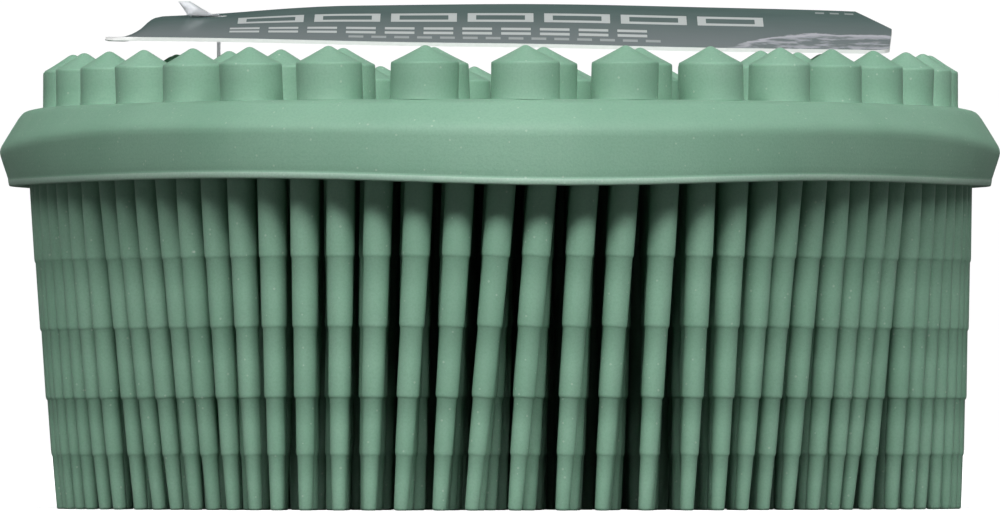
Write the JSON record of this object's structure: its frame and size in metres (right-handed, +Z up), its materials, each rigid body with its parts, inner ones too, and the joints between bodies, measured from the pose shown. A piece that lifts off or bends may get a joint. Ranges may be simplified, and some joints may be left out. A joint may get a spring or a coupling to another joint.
{
  "type": "silicone body scrubber",
  "caption": "Oval hand-held silicone body scrubber with long stepped bristles, pointed massage nubs and a retail card on a nylon tag fastener.",
  "frame": {"origin": "on the plane of the bristle tips, below the middle of the oval pad", "axes": "+Z up from the bristle tips to the nubs, +Y along the long axis of the oval away from the viewer, +X across it to the viewer's right"},
  "size_m": [0.088, 0.124, 0.0455],
  "materials": {
    "silicone": "matt moulded silicone with a fine dusty bloom",
    "printed_card": "gloss-laminated printed paperboard with a pale cut edge",
    "nylon": "translucent white moulded nylon"
  },
  "bodies": {
    "scrubber": {"web": "silicone", "grip_rim": "silicone", "bristle_row_01": "silicone", "bristle_row_02": "silicone", "bristle_row_03": "silicone", "bristle_row_04": "silicone", "bristle_row_05": "silicone", "bristle_row_06": "silicone", "bristle_row_07": "silicone", "bristle_row_08": "silicone", "bristle_row_09": "silicone", "bristle_row_10": "silicone", "bristle_core": "silicone", "nub_row_outer": "silicone", "nub_row_inner": "silicone"},
    "tag": {"tag_fastener": "nylon"},
    "card": {"hang_card": "printed_card"}
  },
  "joints": [
    {"name": "tag_lift", "type": "slide", "parent": "scrubber", "child": "tag", "axis": [0, 0, 1], "range_m": [0, 0.004]},
    {"name": "card_swivel", "type": "hinge", "parent": "tag", "child": "card", "pos_m": [-0.0249, 0.0118, 0.0431], "axis": [0, 0, 1], "continuous": true}
  ]
}
